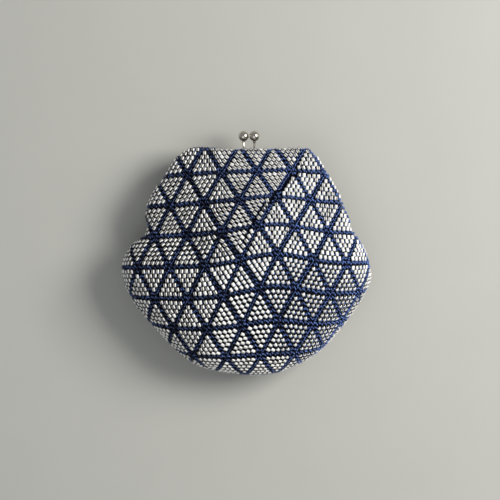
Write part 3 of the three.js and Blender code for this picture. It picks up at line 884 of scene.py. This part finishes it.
def nickel_plate(name, roughness):
    """Bright nickel over pressed steel: a warm grey mirror with faint wiping marks, and slightly
    duller where fingers rub it."""
    return worn_metal(name, colour("nickel"), 0.82, (320.0, 4.0), roughness * 1.5, roughness * 0.7)


def headed_steel():
    """Plain steel wire, cut and headed over, with a fine brushed grain."""
    return worn_metal("headed_steel", colour("steel"), 0.75, (4000.0, 2.0), 0.5, 0.28)


def woven_cotton():
    """Plain-woven cotton lining. Its threads, 0.25 mm apart, are drawn 0.6 mm apart so that the
    weave shows."""
    pitch = 0.6
    material, tree, shader = new_material("plain_woven_cotton", {"Roughness": 0.85, "Sheen Weight": 0.2})
    warp = lay_wave(tree, "SINE", math.pi / pitch, 0)
    weft = lay_wave(tree, "SINE", 0, math.pi / pitch)
    level = ranged(tree, arithmetic(tree, "MULTIPLY", warp, weft), from_min=-1.0, from_max=1.0)
    base = colour("lining")
    tree.links.new(blended(tree, level, darker(base, 0.6), base), shader.inputs["Base Color"])
    bump(tree, shader, level, 0.5, 0.0001)
    return material


def matt_table():
    """A pale matt board, with a mottle so faint that it only stops the floor from looking flat."""
    material, tree, shader = new_material("matt_board", {"Roughness": 0.9})
    base = colour("table")
    mottle = blended(tree, cloud(tree, 30.0, 5.0), darker(base, 0.95), base)
    tree.links.new(mottle, shader.inputs["Base Color"])
    return material


# Pieces


class PURSE_OT_ground(bpy.types.Operator):
    """Adds the crocheted cloth behind the beads, a closed shell on each side"""

    bl_idname = "purse.ground"
    bl_label = "Crochet ground"

    def execute(self, context):
        material = crochet_ground()
        shares = np.sin(np.linspace(0, math.pi / 2, 56))[1:]
        angle, share = np.meshgrid(np.linspace(0, 2 * math.pi, 180, endpoint=False), shares)
        for side in (1, -1):
            points, quads, fans = cloth_shell(angle, share, side, GROUND_INSETS)
            uv = points[:, :2] - LATTICE_NODE
            piece = add_piece(f"crochet_ground_{side_name(side)}", points, [quads, fans], material,
                              uv=[uv[quads], uv[fans]])
            follow(piece, side, "bead_crochet", "crochet_bag")
        return {"FINISHED"}


class PURSE_OT_beads(bpy.types.Operator):
    """Adds the cylinder beads in their triangles, each leaning as its stitch pulls it"""

    bl_idname = "purse.beads"
    bl_label = "Beads"

    def execute(self, context):
        material = silver_lined_glass()
        end = millimetres("bead_length") / 2
        radius = millimetres("bead_diameter") / 2
        hole = millimetres("bead_hole") / 2
        relief = millimetres("bead_relief")
        shape = revolved([
            (-end + BEAD_HOLE_DEPTH, 0), (-end + 0.04, hole), (-end, radius * 0.84),
            (-end + BEAD_END_ROUND, radius), (end - BEAD_END_ROUND, radius), (end, radius * 0.84),
            (end - 0.04, hole), (end - BEAD_HOLE_DEPTH, 0)], 8)
        marks = np.array(LEAN_MARKS, float)
        for side in (1, -1):
            seeded = np.random.default_rng(11 + side)
            _, _, place, across, up, out = stitches(side, True)
            count = len(place)
            if side > 0:
                # Marks count by the inverse fourth power of their distance, softened within 3 mm
                gap = ((place[:, None, :2] - marks[None, :, :2]) ** 2).sum(axis=2)
                weight = 1 / (gap + 9.0) ** 2
                weight /= weight.sum(axis=1, keepdims=True)
                lean = np.radians(weight @ marks[:, 2])
                stand = np.radians(weight @ marks[:, 3])
            else:
                lean = np.radians(np.full(count, BACK_LEAN))
                stand = np.radians(np.full(count, BACK_STAND))
            lean = lean + np.radians(seeded.normal(0, LEAN_SPREAD, count))
            stand = stand + np.radians(seeded.normal(0, STAND_SPREAD, count))
            flat_axis = up * np.cos(lean)[:, None] + across * np.sin(lean)[:, None]
            axis = flat_axis * np.cos(stand)[:, None] + out * np.sin(stand)[:, None]
            crown = out * np.cos(stand)[:, None] - flat_axis * np.sin(stand)[:, None]
            lateral = np.cross(axis, crown)
            reach = end * np.abs(np.sin(stand)) + radius * np.cos(stand)
            sway = seeded.normal(0, SWAY, (count, 2))
            centre = (place + out * (relief - reach - (0.0 if side > 0 else BACK_SUNK))[:, None]
                      + across * sway[:, :1] + up * sway[:, 1:])
            points, faces, uv = repeated(shape, np.stack([lateral, axis, crown], axis=2), centre)
            tone = np.clip(seeded.normal(0.95, 0.08, count), 0.62, 1.0)
            # core picks the standing beads, which get the painted bright field in place of the painted
            # stripes
            core = smooth(stand, math.radians(5), math.radians(16)) + seeded.normal(0, 0.12, count)
            values = {"tone": np.repeat(tone, len(shape[0])),
                      "core": np.repeat(np.clip(core, 0, 1), len(shape[0]))}
            piece = add_piece(f"beads_{side_name(side)}", points, faces, material, uv=uv, values=values)
            follow(piece, side, "bead_crochet")
        return {"FINISHED"}


class PURSE_OT_lattice_thread(bpy.types.Operator):
    """Adds the bare stitches along the lattice lines, as slanted loops of thread"""

    bl_idname = "purse.lattice_thread"
    bl_label = "Lattice thread"

    def execute(self, context):
        material = mercerised_cotton("mercerised_cotton", colour("cotton"), colour("cotton_painted_highlight"))
        radius = millimetres("thread_diameter") / 2
        t = np.linspace(0, 1, 5)
        bow = 4 * t * (1 - t)
        for side in (1, -1):
            seeded = np.random.default_rng(31 + side)
            a, b, *frames = stitches(side, False)
            level = b % REPEAT == 0
            falling = ~level & (a % REPEAT == 0)
            rising = ~level & ~falling
            parts = []
            tones = []
            # Threads of a stitch: which stitches, start and end across and up, bow to the side, and
            # how far the crown stands out. Ends dive 0.35 mm into the cloth. The window lights the
            # right, so threads look lighter towards it, and each differs.
            legs = (
                (level, (-1.15, 0.75), (-0.65, -0.35), 0.2, 0.3),
                (level, (-0.35, 0.2), (0.15, -0.95), 0.25, 0.35),
                (level, (0.45, 0.95), (1.0, -0.2), 0.2, 0.4),
                (falling, (-1.1, 0.35), (-0.4, -0.6), 0.12, 0.3),
                (falling, (-0.35, 0.85), (0.35, -0.05), 0.12, 0.4),
                (falling, (0.35, 0.4), (1.0, -0.5), 0.12, 0.3),
                (rising, (-1.15, -0.3), (-0.6, 0.45), -0.12, 0.3),
                (rising, (-0.35, -0.85), (0.3, -0.05), -0.12, 0.4),
                (rising, (0.3, 0.25), (0.95, 0.85), -0.12, 0.3),
            )
            for chosen, start, end, sideways, proud in legs:
                place, across, up, out = (part[chosen] for part in frames)
                count = len(place)
                jitter = seeded.normal(0, THREAD_SCATTER, (count, 2, 1))
                run = np.array(end) - np.array(start)
                run /= np.linalg.norm(run)
                u = start[0] + (end[0] - start[0]) * t - run[1] * sideways * bow
                v = start[1] + (end[1] - start[1]) * t + run[0] * sideways * bow
                h = -0.35 + (0.35 + proud) * bow
                path = laid(place, across, up, out, u + jitter[:, 0], v + jitter[:, 1], h)
                parts.append(tubes(path, radius, out, 6))
                strength = 0.3 + 0.75 * smooth(place[:, 0], -30, 40) + seeded.normal(0, 0.32, count)
                tones.append(crown_painted_highlight(np.clip(strength, 0.02, 1.4), bow, 6))
            points, faces, uv = joined(parts)
            piece = add_piece(f"lattice_thread_{side_name(side)}", points, faces, material, uv=uv,
                              values={"tone": np.concatenate(tones)})
            follow(piece, side, "bead_crochet")
        return {"FINISHED"}


class PURSE_OT_bead_thread(bpy.types.Operator):
    """Adds the loop of thread that ties each bead down, seen beside its lower end"""

    bl_idname = "purse.bead_thread"
    bl_label = "Thread at the beads"

    def execute(self, context):
        material = mercerised_cotton(
            "mercerised_cotton_shade", colour("ground"), colour("cotton_painted_highlight"))
        radius = millimetres("thread_diameter") / 2
        t = np.linspace(0, 1, 4)
        bow = 4 * t * (1 - t)
        for side in (1, -1):
            seeded = np.random.default_rng(43 + side)
            _, _, place, across, up, out = stitches(side, True)
            path = laid(place, across, up, out, 0.6 + 0.75 * t, -1.1 + 1.1 * t, -0.65 + 0.8 * bow)
            points, faces, uv = tubes(path, radius, out, 5)
            # Painted light: these threads are painted lighter towards the right, where the window is, and
            # each differs at random
            strength = 0.35 + 0.5 * smooth(place[:, 0], -40, 30) + seeded.normal(0, 0.25, len(path))
            piece = add_piece(f"bead_thread_{side_name(side)}", points, faces, material, uv=uv,
                              values={"tone": crown_painted_highlight(np.clip(strength, 0, 1.1), bow, 5)})
            follow(piece, side, "bead_crochet")
        return {"FINISHED"}


class PURSE_OT_mouth_edge(bpy.types.Operator):
    """Adds the last round of the crochet, a two-strand edge along each lip of the mouth"""

    bl_idname = "purse.mouth_edge"
    bl_label = "Mouth edge"

    def execute(self, context):
        material = mercerised_cotton("mercerised_cotton_edge", colour("cotton"), colour("cotton_painted_highlight"))
        strand_radius = 0.3
        inset = 2.2
        fine = np.linspace(-math.pi, math.pi, 4001)
        open_part = fine[rim_height_over_hinge(fine) > -1.0]
        radius = outline_radius(open_part) - inset
        line = np.stack([BAG_CENTRE[0] + radius * np.cos(open_part),
                         BAG_CENTRE[1] + radius * np.sin(open_part)], axis=1)
        walked = walked_along(line)
        at = np.linspace(0, walked[-1], 420)
        x, y = np.interp(at, walked, line[:, 0]), np.interp(at, walked, line[:, 1])
        for side in (1, -1):
            parts = []
            for strand in (0, math.pi):
                twist = 2 * math.pi * at / STITCH + strand
                middle = np.stack([x, y, np.full_like(x, side * (LIP_GAP + strand_radius))], axis=1)
                outward = middle - np.array([*BAG_CENTRE, middle[0, 2]])
                outward[:, 2] = 0
                path = middle + unit(outward) * strand_radius * np.cos(twist)[:, None]
                path[:, 2] += strand_radius * np.sin(twist)
                parts.append(tubes(path[None], strand_radius, np.array([[0, 0, 1.0]]), 8))
            points, faces, uv = joined(parts)
            piece = add_piece(f"mouth_edge_{side_name(side)}", points, faces, material, uv=uv,
                              values={"tone": np.full(len(points), 0.5)})
            follow(piece, side, "bead_crochet")
        return {"FINISHED"}


class PURSE_OT_lining(bpy.types.Operator):
    """Adds the sewn-in lining, with shallow pleats where it is drawn in to the frame"""

    bl_idname = "purse.lining"
    bl_label = "Lining"

    def execute(self, context):
        material = woven_cotton()
        # The hem follows the inner edge of the flange round the mouth. The points below the hinge
        # lie past the outline, so that the lining goes down to the side seam there.
        hem = polar_rule(np.concatenate([
            (ARCH_POINTS - ARCH_NORMALS * (FLANGE_WIDTH + 0.5))[3:-3],
            [[60.0, 2.0], [70, -40], [0, -90], [-70, -40], [-60, 2.0]]]))
        angle = np.linspace(0, 2 * math.pi, 200, endpoint=False)
        limit = np.interp(angle, hem[0], hem[1], period=2 * math.pi) / (outline_radius(angle) - HEM_ROOM)
        shares = np.sin(np.linspace(0, math.pi / 2, 40))[1:]
        share = shares[:, None] * np.minimum(limit, 1.0)
        angle = np.repeat(angle[None], len(shares), axis=0)
        pleat = PLEAT_DEPTH * smooth(share, 0.35, 0.85) * np.cos(PLEATS * angle)
        for side in (1, -1):
            points, quads, fans = cloth_shell(angle, share, side, LINING_INSETS, pleat)
            uv = points[:, :2]
            piece = add_piece(f"lining_{side_name(side)}", points, [quads, fans], material,
                              uv=[uv[quads], uv[fans]])
            follow(piece, side, "lining_cotton", "lining")
        return {"FINISHED"}


class PURSE_OT_clasp(bpy.types.Operator):
    """Adds the two clasp balls, turned in one with their stems and footed inside the rims"""

    bl_idname = "purse.clasp"
    bl_label = "Clasp balls"

    def execute(self, context):
        material = nickel_plate("polished_nickel", 0.1)
        ball = millimetres("ball_diameter") / 2
        stem, foot_radius, foot_height = 0.52, 0.9, 0.5
        top = ARCH_HEIGHT + 10.5
        foot_depth, crossing, spacing = 1.4, 0.3, 5.1
        for side, rim in ((1, FRONT_RIM), (-1, 0.0)):
            inside = ARCH_HEIGHT + rim
            foot = inside - RUNNING
            collar = inside + SHEET + RUNNING
            turn = np.linspace(math.asin(stem * 2.1 / ball), math.pi, 26)
            profile = [
                (foot - foot_height, 0), (foot - foot_height, foot_radius * 0.8),
                (foot - foot_height * 0.7, foot_radius), (foot - 0.08, foot_radius),
                (foot, foot_radius * 0.9), (foot, stem), (collar, stem), (collar + 0.02, stem * 1.7),
                (collar + 0.25, stem * 1.9), (collar + 0.6, stem * 1.45), (collar + 1.1, stem),
                (top - ball - 1.1, stem), (top - ball * 0.95, stem * 1.3)]
            profile += [(top - ball * math.cos(v), ball * math.sin(v)) for v in turn[:-1]]
            profile.append((top + ball, 0))
            points, quads, triangles, quad_uv, triangle_uv = revolved(profile, 40)
            lean = -side * math.atan2(foot_depth + crossing, top - inside)
            points = points - [0, inside, 0]
            c, s = math.cos(lean), math.sin(lean)
            points = np.stack([points[:, 0], points[:, 1] * c - points[:, 2] * s,
                               points[:, 1] * s + points[:, 2] * c], axis=1)
            points = points + [-side * spacing / 2, inside, side * foot_depth]
            half = side_name(side, "rear")
            piece = add_piece(f"{half}_ball", points, [quads, triangles], material,
                              uv=[quad_uv, triangle_uv])
            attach(piece, f"{half}_half")
            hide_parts(f"{half}_clasp_ball")
        return {"FINISHED"}


class PURSE_OT_frame_finish(bpy.types.Operator):
    """Plates the frame halves with nickel and leaves the rivets plain steel"""

    bl_idname = "purse.frame_finish"
    bl_label = "Frame and rivets"

    def execute(self, context):
        plate = nickel_plate("bright_nickel_plate", 0.16)
        steel = headed_steel()
        for name, material in (("rear_frame", plate), ("front_frame", plate),
                               ("hinge_rivet_left", steel), ("hinge_rivet_right", steel)):
            node = frame["nodes"][name]
            if not node.material_slots:
                node.data.materials.append(material)
            for place in node.material_slots:
                place.material = material
        return {"FINISHED"}


class PURSE_OT_sewing(bpy.types.Operator):
    """Sews the bag to the frame with running stitches through the holes of each flange"""

    bl_idname = "purse.sewing"
    bl_label = "Sewing to the frame"

    def execute(self, context):
        material = mercerised_cotton("sewing_thread", colour("cotton"), colour("cotton_painted_highlight"))
        radius = millimetres("sewing_diameter") / 2
        inner = ARCH_POINTS + ARCH_NORMALS * (HOLE_INSET - FLANGE_WIDTH)
        straight = ARCH_POINTS[:, 1] > SEAM_START
        line = ARCH_POINTS[straight]
        walked = walked_along(line)
        count = int(walked[-1] // HOLE_PITCH)
        first = (walked[-1] - (count - 1) * HOLE_PITCH) / 2
        holes = first + HOLE_PITCH * np.arange(count)
        for side in (1, -1):
            face = side * (RAIL_DEPTH - SHEET - radius)
            back = side * (RAIL_DEPTH + radius * 0.4)
            # A stitch comes out of one hole, lies flat on the flange and dives into the next
            t = np.linspace(0, 1, 9)
            shape = np.sin(math.pi * t) ** 0.35
            paths = []
            for k in range(0, count - 1, 2):
                at = holes[k] + (holes[k + 1] - holes[k]) * t
                x = np.interp(at, walked, inner[straight][:, 0])
                y = np.interp(at, walked, inner[straight][:, 1])
                paths.append(np.stack([x, y, back + (face - back) * shape], axis=1))
            paths = np.array(paths)
            points, faces, uv = tubes(paths, radius, np.repeat([[0, 0, float(side)]], len(paths), axis=0), 8)
            half = side_name(side, "rear")
            piece = add_piece(f"sewing_{half}", points, faces, material, uv=uv,
                              values={"tone": np.full(len(points), 0.5)})
            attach(piece, f"{half}_half")
        return {"FINISHED"}


class PURSE_OT_stage(bpy.types.Operator):
    """Sets the pale table, the soft window light from the right and the camera overhead"""

    bl_idname = "purse.stage"
    bl_label = "Table, light and camera"

    def execute(self, context):
        scene = context.scene
        scene.view_settings.view_transform = "Standard"
        reach = 3.0
        corners = [(-reach, -reach, 0), (reach, -reach, 0), (reach, reach, 0), (-reach, reach, 0)]
        mesh = bpy.data.meshes.new("table")
        mesh.from_pydata(corners, [], [(0, 1, 2, 3)])
        mesh.materials.append(matt_table())
        table = bpy.data.objects.new("table", mesh)
        scene.collection.objects.link(table)

        world = bpy.data.worlds.new("soft_room")
        world.use_nodes = True
        sky = world.node_tree.nodes["Background"]
        sky.inputs["Color"].default_value = (0.9, 0.94, 1.0, 1.0)
        sky.inputs["Strength"].default_value = 0.34
        scene.world = world

        # Name, place, width, power and tint of each lamp, all aimed at the origin
        lamps = (
            ("window", (0.58, 0.22, 0.56), 0.42, 7.4, (1.0, 0.99, 0.975)),
            ("room", (-0.2, -0.5, 1.1), 0.9, 2.0, (0.95, 0.97, 1.0)),
        )
        for name, place, width, power, tint in lamps:
            lamp = bpy.data.lights.new(name, "AREA")
            lamp.shape = "SQUARE"
            lamp.size = width
            lamp.energy = power
            lamp.color = tint
            stand = bpy.data.objects.new(name, lamp)
            stand.location = place
            aim = -np.array(place)
            distance = float(np.linalg.norm(aim))
            stand.rotation_euler = (
                math.acos(-aim[2] / distance), 0, math.atan2(aim[1], aim[0]) - math.pi / 2)
            scene.collection.objects.link(stand)

        # At 1 m the lens sees 237.5 mm, which is 500 px of 0.475 mm. The bag's edge lies near there.
        lens = bpy.data.cameras.new("overhead")
        lens.sensor_width = 36.0
        lens.lens = 151.6
        lens.clip_end = 20.0
        camera = bpy.data.objects.new("overhead", lens)
        camera.location = (0.00153, 0.00160, scene.purse_sizes.camera_height)
        scene.collection.objects.link(camera)
        scene.camera = camera
        return {"FINISHED"}


OPERATORS = (
    PURSE_OT_ground, PURSE_OT_beads, PURSE_OT_lattice_thread, PURSE_OT_bead_thread,
    PURSE_OT_mouth_edge, PURSE_OT_lining, PURSE_OT_clasp, PURSE_OT_frame_finish,
    PURSE_OT_sewing, PURSE_OT_stage,
)


class PURSE_PT_panel(bpy.types.Panel):
    """Lists the pieces of the purse and what a user may change"""

    bl_idname = "PURSE_PT_panel"
    bl_label = "Bead crochet purse"
    bl_space_type = "VIEW_3D"
    bl_region_type = "UI"
    bl_category = "Purse"

    def draw(self, context):
        layout = self.layout
        for group in (context.scene.purse_sizes, context.scene.purse_colours):
            column = layout.column()
            for name in group.bl_rna.properties.keys():
                if name not in ("rna_type", "name"):
                    column.prop(group, name)
        column = layout.column()
        for operator in OPERATORS:
            column.operator(operator.bl_idname)


CLASSES = (PurseSizes, PurseColours, *OPERATORS, PURSE_PT_panel)


def register():
    for item in CLASSES:
        bpy.utils.register_class(item)
    bpy.types.Scene.purse_sizes = bpy.props.PointerProperty(type=PurseSizes)
    bpy.types.Scene.purse_colours = bpy.props.PointerProperty(type=PurseColours)


def unregister():
    del bpy.types.Scene.purse_colours
    del bpy.types.Scene.purse_sizes
    for item in reversed(CLASSES):
        bpy.utils.unregister_class(item)


def main():
    register()
    bpy.ops.purse.ground()
    bpy.ops.purse.beads()
    bpy.ops.purse.lattice_thread()
    bpy.ops.purse.bead_thread()
    bpy.ops.purse.mouth_edge()
    bpy.ops.purse.lining()
    bpy.ops.purse.clasp()
    bpy.ops.purse.frame_finish()
    bpy.ops.purse.sewing()
    bpy.ops.purse.stage()


if __name__ == "__main__":
    main()
